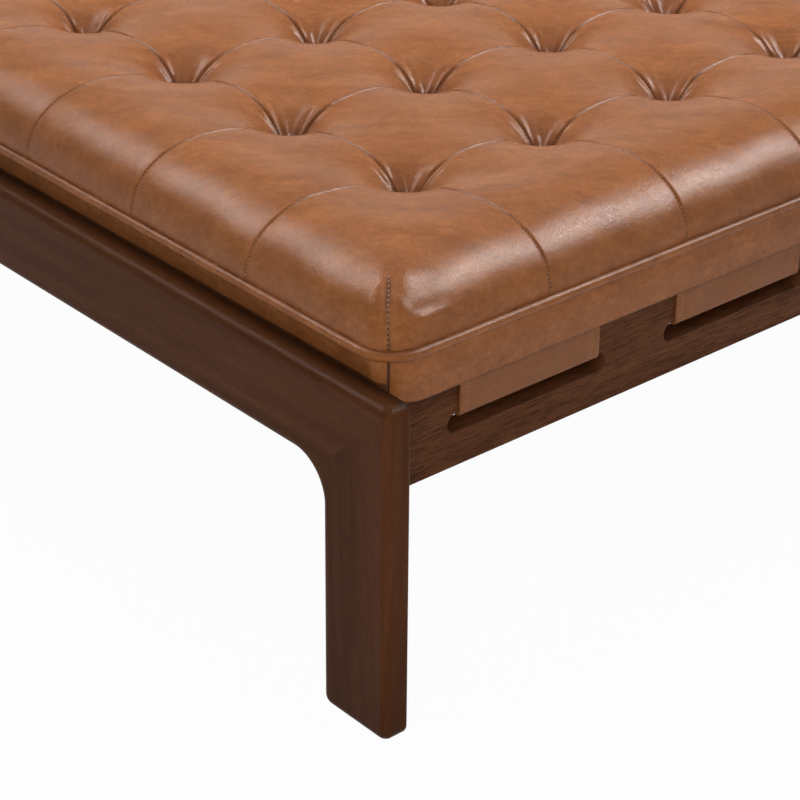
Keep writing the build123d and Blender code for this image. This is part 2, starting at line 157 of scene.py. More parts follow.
# Side frames. Each is a slab of solid wood with a rounded inside corner, sawn with its grain along the
# board, glued up on hidden tenons, stained dark walnut and lacquered to a satin sheen.
walnut = ((0.058, 0.019, 0.0068, 1), (0.080, 0.0265, 0.0092, 1), (0.106, 0.0365, 0.0130, 1))
beech = ((0.36, 0.22, 0.12, 1), (0.48, 0.31, 0.18, 1), (0.58, 0.41, 0.26, 1))
rail_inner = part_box("side_rail_right")[0].x
rail_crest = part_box("side_rail_right")[1].z
# Painted shade on the side rails' tops beside the cushion: how far in it reaches and how dark it gets.
cushion_shade_reach = 0.013
cushion_shade_tone = 0.30
along_x = (0, 0, 0)
along_y = (0, 0, math.radians(-90))
along_z = (0, math.radians(90), 0)
ends = ("front", "back")
sides = ("left", "right")
corner_names = [end + "_" + side for end in ends for side in sides]


def figure_group(name, outputs):
    """A node group that takes a vector and will put out the named values, with its start and its end."""
    group = bpy.data.node_groups.new(name, "ShaderNodeTree")
    group.interface.new_socket("Vector", in_out="INPUT", socket_type="NodeSocketVector")
    for output in outputs:
        group.interface.new_socket(output, in_out="OUTPUT", socket_type="NodeSocketFloat")
    return group, group.nodes.new("NodeGroupInput"), group.nodes.new("NodeGroupOutput")


def wood_figure():
    """A node group: the bands, lines and pores of sawn wood whose grain runs along the vector's X."""
    group, start, end = figure_group("wood_figure", ("Bands", "Pores", "Height"))
    wide = add_node(group, "Mapping", start, Scale=(1.3, 16, 16))
    fine = add_node(group, "Mapping", start, Scale=(55, 800, 800))
    bands = add_node(group, "TexNoise", wide, Scale=1.6, Detail=7, Roughness=0.62, Distortion=0.9)
    pores = add_node(group, "TexNoise", fine, Scale=1.0, Detail=3, Roughness=0.6)
    spread = add_node(group, "MapRange", bands, From_Min=0.32, From_Max=0.68)
    thin = add_node(group, "MapRange", pores, From_Min=0.60, From_Max=0.44)
    height = add_node(group, "Math", spread, 0.3, thin, operation="MULTIPLY_ADD")
    set_up(group, end, Bands=spread, Pores=thin, Height=height)
    return group


wood_figure_group = wood_figure()


def new_material(name, **values):
    """A material, its tree, its Principled BSDF set up with the values, and the object's coordinates."""
    material = bpy.data.materials.new(name)
    material.use_nodes = True
    tree = material.node_tree
    shader = set_up(tree, tree.nodes["Principled BSDF"], **values)
    return material, tree, shader, add_node(tree, "TexCoord").outputs["Object"]


def tone_ramp(tree, share, tones, middle=0.5):
    """A colour that goes through two or three tones as the share goes from 0 to 1."""
    ramp = add_node(tree, "ValToRGB", share)
    ramp.color_ramp.elements[0].color = tones[0]
    ramp.color_ramp.elements[1].color = tones[-1]
    if len(tones) == 3:
        ramp.color_ramp.elements.new(middle).color = tones[1]
    return ramp


def multiplied(tree, colour, by, share):
    """A colour times another, taken up by a share."""
    mix = add_node(tree, "Mix", data_type="RGBA", blend_type="MULTIPLY", Factor=share, A=colour, B=by)
    return mix.outputs["Result"]


def paint_cushion_shade(tree, place, colour):
    """Painted shade: a darker tone on the rail's top edge beside the cushion, where the cushion's shadow
    falls.
    """
    split = add_node(tree, "SeparateXYZ", place)
    away = add_node(tree, "Math", split.outputs["X"], operation="ABSOLUTE")
    beside = add_node(tree, "MapRange", away, From_Min=rail_inner, From_Max=rail_inner + cushion_shade_reach,
                      To_Min=cushion_shade_tone)
    below = add_node(tree, "MapRange", split.outputs["Z"], From_Min=rail_crest - 0.5 * cushion_shade_reach,
                     From_Max=rail_crest - cushion_shade_reach)
    return multiplied(tree, colour, greatest(tree, beside, below), 1)


def wood_material(name, turn, colours, roughness, relief, line_share=0.8, with_cushion_shade=False):
    """Stained or plain wood. The turn lays the figure's X along the board's grain. If asked, it adds painted
    shade on a rail's top beside the cushion.
    """
    material, tree, shader, place = new_material(name, Specular_IOR_Level=0.031)
    turned = add_node(tree, "Mapping", place, Rotation=turn)
    figure = add_node(tree, "Group", turned, node_tree=wood_figure_group)
    bands = figure.outputs["Bands"]
    pore_tone = add_node(tree, "MapRange", figure.outputs["Pores"], To_Min=0.62, To_Max=1.12)
    colour = multiplied(tree, tone_ramp(tree, bands, colours), pore_tone, line_share)
    if with_cushion_shade:
        colour = paint_cushion_shade(tree, place, colour)
    rough = add_node(tree, "MapRange", bands, To_Min=roughness + 0.1, To_Max=roughness - 0.05)
    bump = add_node(tree, "Bump", Strength=relief, Distance=0.0004, Height=figure.outputs["Height"])
    set_up(tree, shader, Base_Color=colour, Roughness=rough, Normal=bump)
    return material


def finish_nodes(names, material):
    """Gives CAD pieces their material."""
    for name in names:
        nodes[name].data.materials.clear()
        nodes[name].data.materials.append(material)


# The side rails get painted shade on their tops beside the cushion, where its shadow falls.
finish_nodes(["side_rail_" + side for side in sides],
             wood_material("walnut_side_rail", along_y, walnut, 0.33, 0.18, line_share=0.35, with_cushion_shade=True))
finish_nodes(["leg_" + corner for corner in corner_names],
             wood_material("walnut_leg", along_z, walnut, 0.33, 0.18, line_share=0.35))
finish_nodes(["mitre_tenons"], wood_material("beech_tenon", along_z, beech, 0.6, 0.2))

# Cross rails. One at the front and one at the back, of the side frames' wood, with the grain along the
# table. The straps' slots are routed right through and their edges eased.
cross_walnut = ((0.075, 0.025, 0.0095, 1), (0.112, 0.040, 0.0155, 1), (0.155, 0.058, 0.023, 1))
finish_nodes(["front_rail", "back_rail"],
             wood_material("walnut_cross_rail", along_x, cross_walnut, 0.42, 0.45, line_share=1.0))
finish_nodes(["rail_dowels"], wood_material("beech_dowel", along_x, beech, 0.6, 0.2))

# Stretchers and corner blocks. Plain planed hardwood under the cushion, out of sight from above.
# The blocks are screwed to the legs and the cross rails.
finish_nodes(["stretcher_left", "stretcher_right", "stretcher_dowels"],
             wood_material("beech_stretcher", along_y, beech, 0.55, 0.3))
finish_nodes(["corner_block_" + corner for corner in corner_names],
             wood_material("beech_block", along_z, beech, 0.55, 0.3))

# Screws, bars and glides. Zinc-plated steel for what clamps the straps and blocks, and bright nickel
# under the feet, with the faint brushing and spots that such hardware has.


def dimmed(colour, share):
    """A colour brought down to a share of its brightness."""
    return [share * c for c in colour[:3]] + [1]


def metal_material(name, colour, roughness, brushing):
    """Plated steel with faint brushing and a slightly uneven tone."""
    material, tree, shader, place = new_material(name, Metallic=1.0)
    stretched = add_node(tree, "Mapping", place, Scale=brushing)
    grain = add_node(tree, "TexNoise", stretched, Scale=1.0, Detail=4)
    rough = add_node(tree, "MapRange", grain, To_Min=roughness - 0.1, To_Max=roughness + 0.15)
    set_up(tree, shader, Base_Color=tone_ramp(tree, grain, (dimmed(colour, 0.6), colour)), Roughness=rough)
    return material


finish_nodes(["strap_clamp_bars"],
             metal_material("zinc_bar", (0.55, 0.55, 0.57, 1), 0.38, (60, 900, 900)))
finish_nodes(["strap_screws", "block_screws"],
             metal_material("zinc_screw", (0.62, 0.60, 0.54, 1), 0.35, (400, 400, 400)))
finish_nodes(["glides"], metal_material("nickel", (0.70, 0.69, 0.66, 1), 0.22, (300, 300, 300)))

# Straps. Five bands of thick saddle leather, stitched along both edges, run over the cross rails and
# down through the slots. Their ends are clamped behind the rails, out of sight.
strap_thickness = 0.0025
strap_slot_bend = 0.0047
strap_rail_bend = 0.0057
strap_edge_round = 0.0007
strap_stitch_inset = 0.008
strap_stitch_pitch = 0.0042
strap_groove = 0.0004
strap_groove_width = 0.0016
strap_rail_gap = 0.0002
strap_tail = 0.0265
strap_mesh_step = 0.012
strap_thread = 0.0007
strap_thread_lift = 0.0001
strap_thread_share = 0.78


def rounded_path(corners, radii, long_step, arc_steps=5):
    """Points along straight runs and the arcs between them, in a plane."""
    corners = [Vector(corner) for corner in corners]
    points = [corners[0]]

    def run_to(end):
        start, gap = points[-1], end - points[-1]
        steps = max(1, round(gap.length / long_step))
        points.extend(start + gap * k / steps for k in range(1, steps + 1))

    for before, corner, after, radius in zip(corners, corners[1:], corners[2:], radii):
        back, on = (before - corner).normalized(), (after - corner).normalized()
        half = back.angle(on) / 2
        middle = corner + (back + on).normalized() * radius / math.sin(half)
        run_to(corner + back * radius / math.tan(half))
        arm = points[-1] - middle
        step = math.copysign(math.pi - 2 * half, back.y * on.x - back.x * on.y) / arc_steps
        points.extend(middle + Matrix.Rotation(step * k, 2) @ arm for k in range(1, arc_steps + 1))
    run_to(corners[-1])
    return np.array(points)


def places_of(piece):
    """The places of a piece's vertices."""
    flat = np.empty(len(piece.data.vertices) * 3)
    piece.data.vertices.foreach_get("co", flat)
    return flat.reshape(-1, 3)


def mark_crease_and_shade(piece, values):
    """Stores how dark each vertex is: dark seam lines, and painted shade in pits, creases and gaps."""
    attribute = piece.data.attributes.new("crease_and_shade", "FLOAT", "POINT")
    attribute.data.foreach_set("value", values.astype(np.float32))


def draped_grid(name, place, crease_and_shade=None):
    """A grid primitive put in place: place and the optional darkening table hold a point and a value for each
    column and row. The darkening marks seam lines and painted shade.
    """
    columns, rows = place.shape[0] - 1, place.shape[1] - 1
    bpy.ops.mesh.primitive_grid_add(x_subdivisions=columns, y_subdivisions=rows, size=1)
    piece = bpy.context.object
    piece.name = piece.data.name = name
    flat = places_of(piece)
    column = np.rint((flat[:, 0] + 0.5) * columns).astype(int)
    row = np.rint((flat[:, 1] + 0.5) * rows).astype(int)
    piece.data.vertices.foreach_set("co", place[column, row].ravel())
    piece.data.update()
    if crease_and_shade is not None:
        mark_crease_and_shade(piece, crease_and_shade[column, row])
    return piece


def pick(piece):
    """Selects one piece alone and makes it the active one."""
    bpy.ops.object.select_all(action="DESELECT")
    piece.select_set(True)
    bpy.context.view_layer.objects.active = piece


def apply_modifier(piece, kind, **settings):
    """Adds a modifier, sets it and applies it."""
    bpy.context.view_layer.objects.active = piece
    bpy.ops.object.modifier_add(type=kind)
    modifier = piece.modifiers[-1]
    for name, value in settings.items():
        setattr(modifier, name, value)
    bpy.ops.object.modifier_apply(modifier=modifier.name)


def ease_edges(piece, width, segments):
    """Bevels a piece's sharp edges."""
    apply_modifier(piece, "BEVEL", width=width, segments=segments, limit_method="ANGLE",
                   angle_limit=math.radians(60))


def clean_normals(piece, weld=0.0):
    """Merges doubles where asked, and turns all faces outwards."""
    pick(piece)
    bpy.ops.object.mode_set(mode="EDIT")
    bpy.ops.mesh.select_all(action="SELECT")
    if weld:
        bpy.ops.mesh.remove_doubles(threshold=weld)
    bpy.ops.mesh.normals_make_consistent(inside=False)
    bpy.ops.object.mode_set(mode="OBJECT")


def smooth_by_angle(piece, degrees=40):
    """Smooth shading, but for edges sharper than an angle."""
    pick(piece)
    bpy.ops.object.shade_smooth_by_angle(angle=math.radians(degrees))


def thicken(piece, inside, thickness, edge_round):
    """Turns a sheet's faces away from a point inside, and gives it a wall with eased edges."""
    away = sum((Vector(face.center) - Vector(inside)).dot(face.normal) * face.area
               for face in piece.data.polygons)
    if away < 0:
        pick(piece)
        bpy.ops.object.mode_set(mode="EDIT")
        bpy.ops.mesh.select_all(action="SELECT")
        bpy.ops.mesh.flip_normals()
        bpy.ops.object.mode_set(mode="OBJECT")
    apply_modifier(piece, "SOLIDIFY", thickness=thickness, offset=-1)
    clean_normals(piece)
    ease_edges(piece, edge_round, 2)
    smooth_by_angle(piece)


def place_piece(piece, material, body, slot, *replaced):
    """Gives a finished piece its material and body, and hides the CAD nodes it stands for. The slot is not
    used.
    """
    piece.data.materials.clear()
    piece.data.materials.append(material)
    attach(piece, body)
    if replaced:
        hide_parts(*replaced)


def leather_figure():
    """A node group: the cloudy tone, fine grain and small creases of smooth leather."""
    group, start, end = figure_group("leather_figure", ("Tone", "Sheen", "Height"))
    streaks = add_node(group, "Mapping", start, vector_type="TEXTURE", Rotation=(0, 0, math.radians(-41)),
                       Scale=(0.050, 0.021, 0.021))
    clouds = add_node(group, "TexNoise", streaks, Scale=1.0, Detail=4, Roughness=0.6)
    patches = add_node(group, "TexNoise", streaks, Scale=4.5, Detail=4, Roughness=0.65)
    specks = add_node(group, "TexNoise", start, Scale=330, Detail=3, Roughness=0.65)
    tone = add_node(group, "MapRange", clouds, From_Min=0.14, From_Max=0.86)
    for layer, weight in ((patches, 1.3), (specks, 1.0)):
        centred = add_node(group, "Math", layer, 0.5, operation="SUBTRACT")
        tone = add_node(group, "Math", centred, weight, tone, operation="MULTIPLY_ADD")
    dull = add_node(group, "TexNoise", start, Scale=24, Detail=4)
    cells = add_node(group, "TexVoronoi", start, feature="DISTANCE_TO_EDGE", Scale=620)
    grain = add_node(group, "MapRange", cells.outputs["Distance"], From_Max=0.25)
    height = add_node(group, "Math", specks, 0.5, grain, operation="MULTIPLY_ADD")
    set_up(group, end, Tone=tone, Sheen=dull, Height=height)
    return group


leather_figure_group = leather_figure()


def leather_material(name, tones, roughness, relief, crease_and_shade_tone=None):
    """Smooth dyed leather. Where the mesh has its darkening attribute, its seam lines and its painted shade
    take a darker tone.
    """
    material, tree, shader, place = new_material(name, Specular_IOR_Level=0.16)
    figure = add_node(tree, "Group", place, node_tree=leather_figure_group)
    colour = tone_ramp(tree, figure.outputs["Tone"], tones, 0.55)
    if crease_and_shade_tone:
        crease_and_shade = add_node(tree, "Attribute", attribute_name="crease_and_shade").outputs["Fac"]
        darker = add_node(tree, "Mix", data_type="RGBA", Factor=crease_and_shade, A=colour, B=crease_and_shade_tone)
        colour = darker.outputs["Result"]
    rough = add_node(tree, "MapRange", figure.outputs["Sheen"], From_Min=0.3, From_Max=0.7,
                     To_Min=roughness - 0.05, To_Max=roughness + 0.07)
    bump = add_node(tree, "Bump", Strength=relief, Distance=0.00025, Height=figure.outputs["Height"])
    set_up(tree, shader, Base_Color=colour, Roughness=rough, Normal=bump)
    return material


def take_shape():
    """The active object's points and faces. The object itself is deleted."""
    one = bpy.context.object
    shape = np.array([vertex.co for vertex in one.data.vertices])
    faces = [list(face.vertices) for face in one.data.polygons]
    bpy.data.objects.remove(one)
    return shape, faces


def joined_copies(name, blocks, faces):
    """One piece made of copies of a small shape: each copy's points, and the shape's faces."""
    size = len(blocks[0])
    polygons = [[count * size + i for i in face] for count in range(len(blocks)) for face in faces]
    mesh = bpy.data.meshes.new(name)
    mesh.from_pydata(np.concatenate(blocks).tolist(), [], polygons)
    piece = bpy.data.objects.new(name, mesh)
    bpy.context.collection.objects.link(piece)
    return piece


def stitch_rows(name, rows, length, thickness):
    """Thread: one small low-sided stitch copied along rows of (points, outward directions)."""
    bpy.ops.mesh.primitive_uv_sphere_add(segments=6, ring_count=4, radius=0.5)
    shape, faces = take_shape()
    blocks = []
    for points, outward in rows:
        along = points[1:] - points[:-1]
        along /= np.linalg.norm(along, axis=1)[:, None]
        side = np.cross(along, (outward[:-1] + outward[1:]) / 2)
        side /= np.linalg.norm(side, axis=1)[:, None]
        out = np.cross(side, along)
        for middle, a, s, o in zip((points[:-1] + points[1:]) / 2, along, side, out):
            blocks.append(middle + (shape[:, 2:] * length * a + shape[:, :1] * thickness * s
                                    + shape[:, 1:2] * thickness * o))
    piece = joined_copies(name, blocks, faces)
    smooth_by_angle(piece, 60)
    return piece


def sewing_thread(name, colour):
    """Waxed thread with a fine twist."""
    material, tree, shader, place = new_material(name, Roughness=0.55, Specular_IOR_Level=0.3)
    twist = add_node(tree, "TexNoise", place, Scale=1800, Detail=2)
    set_up(tree, shader, Base_Color=tone_ramp(tree, twist, (dimmed(colour, 0.55), colour)))
    return material


def outward_from_path(path):
    """Directions out of a path in a plane, to the left of its run."""
    run = np.gradient(path, axis=0)
    run /= np.linalg.norm(run, axis=1)[:, None]
    return np.stack([-run[:, 1], run[:, 0]], axis=1)


strap_inner_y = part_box("front_rail")[1].y + strap_thickness + strap_rail_gap
strap_sides = [0, 0.003, strap_stitch_inset - strap_groove_width, strap_stitch_inset,
               strap_stitch_inset + strap_groove_width]
strap_bends = [strap_slot_bend] * 2 + [strap_rail_bend] * 2 + [strap_slot_bend] * 2
saddle_leather = leather_material("saddle_leather", ((0.200, 0.070, 0.023, 1), (0.235, 0.084, 0.028, 1),
                                                     (0.275, 0.102, 0.036, 1)), 0.44, 0.5)
brown_thread = sewing_thread("brown_thread", (0.46, 0.22, 0.10, 1))
strap_thread_rows = []
for node in ("strap_1", "strap_2", "strap_3", "strap_4", "strap_5"):
    low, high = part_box(node)
    middle, half = (high.x + low.x) / 2, (high.x - low.x) / 2
    turns = [(strap_inner_y, low.z + strap_tail), (strap_inner_y, low.z), (low.y, low.z), (low.y, high.z)]
    turns += [(-y, z) for y, z in reversed(turns)]
    path = rounded_path(turns, strap_bends, strap_mesh_step)
    from_middle = [half - side for side in strap_sides] + [half * share for share in (0.7, 0.4, 0)]
    from_middle = np.array([-x for x in from_middle] + from_middle[-2::-1])
    depth = strap_groove * (np.abs(np.abs(from_middle) - (half - strap_stitch_inset)) < 1e-6)
    place = np.empty((len(from_middle), len(path), 3))
    place[:, :, 0] = (middle + from_middle)[:, None]
    place[:, :, 1:] = path - depth[:, None, None] * outward_from_path(path)
    strap = draped_grid(node + "_leather", place)
    thicken(strap, (0, 0, 0), strap_thickness, strap_edge_round)
    place_piece(strap, saddle_leather, "frame", "strap_leather", node)
    sewn = rounded_path(turns[1:-1], strap_bends[1:-1], strap_stitch_pitch, 2)
    out = np.zeros((len(sewn), 3))
    out[:, 1:] = outward_from_path(sewn)
    for side in (-1, 1):
        row = (strap_thread_lift - strap_groove) * out
        row[:, 0] = middle + side * (half - strap_stitch_inset)
        row[:, 1:] += sewn
        strap_thread_rows.append((row, out))
strap_stitching = stitch_rows("strap_stitching", strap_thread_rows,
                              strap_stitch_pitch * strap_thread_share, strap_thread)
place_piece(strap_stitching, brown_thread, "frame", "strap_leather")

# Bottom cloth and zip. A plain woven cloth closes the cushion underneath. It is drawn up a little at each
# washer, and a zip with metal teeth runs along its back part.
side_x = -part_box("border_left")[0].x
side_y = -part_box("border_front")[0].y
cloth_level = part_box("bottom_cloth")[0].z
cloth_thickness = 0.0008
cloth_reach_x = side_x - 0.0025
cloth_reach_y = side_y + 0.0010
cloth_corner = 0.020
washer_dimple = 0.0007
washer_dimple_reach = 0.010
tape_low, tape_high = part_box("zip_tape")
tape_recess = 0.0008
tape_margin = 0.004
tape_thickness = 0.0006
tooth_size = (0.0010, 0.0032, 0.0004)
tooth_pitch = 0.0016
tooth_offset = 0.0011
tooth_drop = 0.0001
teeth_start = 0.008
teeth_stop = 0.004
pull_size = (0.024, 0.0055, 0.0008)
pull_place = 0.009
pull_drop = 0.0002
bridge_size = (0.0075, 0.0016, 0.0014)
bridge_drop = 0.0006
slider_low, slider_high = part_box("zip_slider")
zip_middle = (tape_low.y + tape_high.y) / 2
wave_length = 0.314
tuft_pitch = 0.155
tuft_columns = (np.arange(7) - 3) * tuft_pitch
tuft_rows = (np.arange(5) - 2) * tuft_pitch


def woven_material(name, tones, pitch, roughness):
    """Plain-woven cloth: threads over and under each other, at a pitch, in two close tones."""
    material, tree, shader, place = new_material(name, Roughness=roughness, Specular_IOR_Level=0.2)
    threads = []
    for turn in (0, math.radians(90)):
        turned = add_node(tree, "Mapping", place, Rotation=(0, 0, turn))
        wave = add_node(tree, "TexWave", turned, Scale=wave_length / pitch, Distortion=0.6, Detail=1)
        threads.append(wave.outputs["Fac"])
    over = add_node(tree, "Math", *threads, operation="MULTIPLY")
    bump = add_node(tree, "Bump", Strength=0.5, Distance=0.0003, Height=over)
    set_up(tree, shader, Base_Color=tone_ramp(tree, over, tones), Normal=bump)
    return material


def rounded_plan(reach_x, reach_y, corner, columns, rows):
    """X and Y of a grid that fills a rectangle with rounded corners."""
    x, y = np.meshgrid(np.linspace(-1, 1, columns), np.linspace(-reach_y, reach_y, rows), indexing="ij")
    past = np.clip(np.abs(y) - (reach_y - corner), 0, corner)
    return x * (reach_x - corner + np.sqrt(corner ** 2 - past ** 2)), y


def bell(off, reach):
    """A soft hump: 1 at no distance off, and falling away past its reach."""
    return np.exp(-(off / reach) ** 2)


def tuft_dents(x, y, dent, reach):
    """How deep a surface is dented at the tufts."""
    total = np.zeros_like(x)
    for tuft_x in tuft_columns:
        for tuft_y in tuft_rows:
            total += dent * bell(np.hypot(x - tuft_x, y - tuft_y), reach)
    return total


def add_block(size, middle):
    """A block in the mesh that is being edited."""
    bpy.ops.mesh.primitive_cube_add(size=1)
    bpy.ops.transform.resize(value=size)
    bpy.ops.transform.translate(value=middle)


def start_piece(name, size, middle=(0, 0, 0)):
    """A block as the start of a piece, left in edit mode."""
    bpy.ops.object.select_all(action="DESELECT")
    bpy.ops.mesh.primitive_cube_add(size=1)
    piece = bpy.context.object
    piece.name = piece.data.name = name
    bpy.ops.object.mode_set(mode="EDIT")
    bpy.ops.transform.resize(value=size)
    bpy.ops.transform.translate(value=middle)
    return piece


cloth_x, cloth_y = rounded_plan(cloth_reach_x, cloth_reach_y, cloth_corner, 160, 122)
on_tape = ((np.abs(cloth_x) < tape_high.x + tape_margin) & (cloth_y > tape_low.y - tape_margin)
           & (cloth_y < tape_high.y + tape_margin))
lift = np.where(on_tape, tape_recess, tuft_dents(cloth_x, cloth_y, washer_dimple, washer_dimple_reach))
bottom = draped_grid("cushion_bottom_cloth", np.stack([cloth_x, cloth_y, cloth_level + lift], axis=-1))
thicken(bottom, (0, 0, 1), cloth_thickness, 0.0002)
place_piece(bottom, woven_material("lining_weave", ((0.035, 0.030, 0.028, 1), (0.085, 0.075, 0.070, 1)),
                                   0.0012, 0.9), "cushion", "lining_cloth", "bottom_cloth")

tape = start_piece("zip_tape_woven", (tape_high.x - tape_low.x, tape_high.y - tape_low.y, tape_thickness),
                   (0, zip_middle, cloth_level + tape_thickness / 2))
bpy.ops.mesh.subdivide(number_cuts=1)
bpy.ops.object.mode_set(mode="OBJECT")
ease_edges(tape, 0.0002, 2)
smooth_by_angle(tape)
place_piece(tape, woven_material("zip_tape_weave", ((0.020, 0.017, 0.016, 1), (0.060, 0.052, 0.048, 1)),
                                 0.0007, 0.8), "cushion", "zip_cloth", "zip_tape")

antique_brass = metal_material("antique_brass", (0.52, 0.38, 0.20, 1), 0.36, (500, 500, 500))
tooth = start_piece("zip_tooth", tooth_size)
bpy.ops.object.mode_set(mode="OBJECT")
ease_edges(tooth, 0.00012, 1)
tooth_shape, tooth_faces = take_shape()
teeth_run = slider_low.x - teeth_stop - (tape_low.x + teeth_start)
teeth_blocks = [tooth_shape + (tape_low.x + teeth_start + count * tooth_pitch,
                               zip_middle + (tooth_offset if count % 2 else -tooth_offset),
                               cloth_level - tooth_drop) for count in range(int(teeth_run / tooth_pitch))]
place_piece(joined_copies("zip_teeth", teeth_blocks, tooth_faces), antique_brass, "cushion", "zip_metal")

slider = start_piece("zip_slider_and_pull", tuple(slider_high - slider_low),
                     tuple((slider_low + slider_high) / 2))
add_block(pull_size, (slider_low.x - pull_place, zip_middle, slider_low.z - pull_drop))
add_block(bridge_size, ((slider_low.x + slider_high.x) / 2, zip_middle, slider_low.z - bridge_drop))
bpy.ops.object.mode_set(mode="OBJECT")
ease_edges(slider, 0.0005, 3)
smooth_by_angle(slider)
place_piece(slider, antique_brass, "cushion", "zip_metal", "zip_slider")

# Foam core, washers and cords. A block of upholstery foam fills the cushion. Waxed twine is tied through
# it at every tuft, and a plastic washer under the foam holds each knot.
foam_low, foam_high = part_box("foam_core")
foam_ceiling = 0.3395
foam_dent = 0.0016
foam_dent_reach = 0.022
foam_edge_round = 0.002
foam_corner = 0.034


def foam_material():
    """Open-cell foam: pale yellow, with fine cells that take the light unevenly."""
    material, tree, shader, place = new_material("upholstery_foam", Roughness=0.95, Specular_IOR_Level=0.15)
    cells = add_node(tree, "TexVoronoi", place, Scale=900).outputs["Distance"]
    tone = tone_ramp(tree, cells, ((0.50, 0.42, 0.24, 1), (0.72, 0.64, 0.42, 1)))
    bump = add_node(tree, "Bump", Strength=0.6, Distance=0.0004, Height=cells)
    set_up(tree, shader, Base_Color=tone, Normal=bump)
    return material


def plastic_material(name, colour, roughness):
    """Moulded plastic with a faint unevenness."""
    material, tree, shader, place = new_material(name, Specular_IOR_Level=0.45)
    flow = add_node(tree, "TexNoise", place, Scale=240, Detail=3)
    rough = add_node(tree, "MapRange", flow, To_Min=roughness, To_Max=roughness + 0.15)
    set_up(tree, shader, Base_Color=tone_ramp(tree, flow, (dimmed(colour, 0.8), colour)), Roughness=rough)
    return material


foam_x, foam_y = rounded_plan(foam_high.x, foam_high.y, foam_corner, 110, 120)
foam_z = foam_ceiling - tuft_dents(foam_x, foam_y, foam_dent, foam_dent_reach)
foam = draped_grid("foam_block", np.stack([foam_x, foam_y, foam_z], axis=-1))
bpy.ops.object.mode_set(mode="EDIT")
bpy.ops.mesh.select_all(action="DESELECT")
bpy.ops.mesh.select_non_manifold()
bpy.ops.mesh.extrude_edges_move(TRANSFORM_OT_translate={"value": (0, 0, foam_low.z - foam_ceiling)})
bpy.ops.mesh.edge_face_add()
bpy.ops.object.mode_set(mode="OBJECT")
clean_normals(foam)
ease_edges(foam, foam_edge_round, 3)
smooth_by_angle(foam)
place_piece(foam, foam_material(), "cushion", "foam", "foam_core")
finish_nodes(["tuft_cords"], sewing_thread("waxed_twine", (0.62, 0.52, 0.38, 1)))
finish_nodes(["tuft_washers"], plastic_material("washer_plastic", (0.75, 0.73, 0.68, 1), 0.4))

# Border. Four bands of the cushion's leather are sewn together at the corners and to the welt above.
# The front and back bands roll out over the rails. The side bands are drawn in, clear of the side frames.
welt_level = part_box("border_front")[1].z
border_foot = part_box("border_front")[0].z
side_rail_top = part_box("side_rail_left")[1].z
band_thickness = 0.0020
band_edge_round = 0.0006
band_corner_top = 0.032
band_corner_foot = 0.015
band_seam_fade = 0.030
band_seam_tuck = 0.0011
band_seam_tuck_reach = 0.0013
band_seam_line = 0.0016
roll_out = 0.0036
roll_out_share = 0.55
roll_down = 0.0052
side_draw_in = 0.0018
side_draw_in_share = 0.5
crumple_height = 0.00025
# Painted shade at the border's foot, where it meets the wood: its height and its darkness.
edge_shade = 0.0014
foot_shade_darkness = 0.85
side_band_depth = 0.006
end_turns = np.array([1, 0.975, 0.94, 0.88, 0.78, 0.62, 0.46, 0.3, 0.15, 0]) * math.pi / 4
cushion_tones = ((0.208, 0.066, 0.018, 1), (0.290, 0.098, 0.028, 1), (0.375, 0.135, 0.043, 1))
# Its darker tone paints seam lines, and shade in the pits, in the creases and at the border's foot.
cushion_leather = leather_material("cushion_leather", cushion_tones, 0.24, 0.30, (0.055, 0.019, 0.008, 1))


def eased(share):
    """A share from 0 to 1 that starts and ends gently."""
    return share * share * (3 - 2 * share)


def border_band(half_length, half_depth, swell, swell_share, drop):
    """A band along the back of a cushion, from corner seam to corner seam. Its foot swells and drops."""
    straight = np.linspace(1, 0, 60)[1:]
    out_x = np.append(np.sin(end_turns), np.zeros(len(straight)))
    out_y = np.append(np.cos(end_turns), np.ones(len(straight)))
    rail_levels = (welt_level - side_rail_top + np.array((edge_shade, 0))) / (welt_level - border_foot)
    rows = []
    for level in np.sort(np.concatenate([np.linspace(0, 1, 13), rail_levels, (0.95, 0.98)])):
        radius = band_corner_top + (band_corner_foot - band_corner_top) * level
        x = (half_length - radius) * np.append(np.ones(len(end_turns)), straight) + radius * out_x
        y = half_depth - radius + radius * out_y
        run = np.append(0, np.cumsum(np.hypot(np.diff(x), np.diff(y))))
        fade = eased(np.clip(run / band_seam_fade, 0, 1))
        bulge = swell * fade * eased(min(level / swell_share, 1))
        crumple = crumple_height * np.sin(x * 61 + level * 3) * np.sin(x * 23 + 1.3) * (bulge / roll_out)
        shift = bulge + crumple - band_seam_tuck * bell(run, band_seam_tuck_reach)
        half = np.stack([x + out_x * shift, y + out_y * shift,
                         welt_level + (border_foot - drop * fade - welt_level) * level], axis=-1)
        rows.append(np.concatenate([half * (-1, 1, 1), half[-2::-1]]))
    return np.stack(rows, axis=1)


def seam_lines_and_foot_shade(spots):
    """How dark places on the border are: dark lines in the corner seams, and painted shade down where the
    border meets the wood.
    """
    off = (side_x - np.abs(spots[:, 0])) - (side_y - np.abs(spots[:, 1]))
    on_side = np.abs(spots[:, 0]) > side_x - side_band_depth
    wood = np.where(on_side, side_rail_top - edge_shade, border_foot - roll_down)
    near_wood = np.clip((wood + edge_shade - spots[:, 2]) / edge_shade, 0, 1)
    return np.maximum(bell(off, band_seam_line), foot_shade_darkness * near_wood)


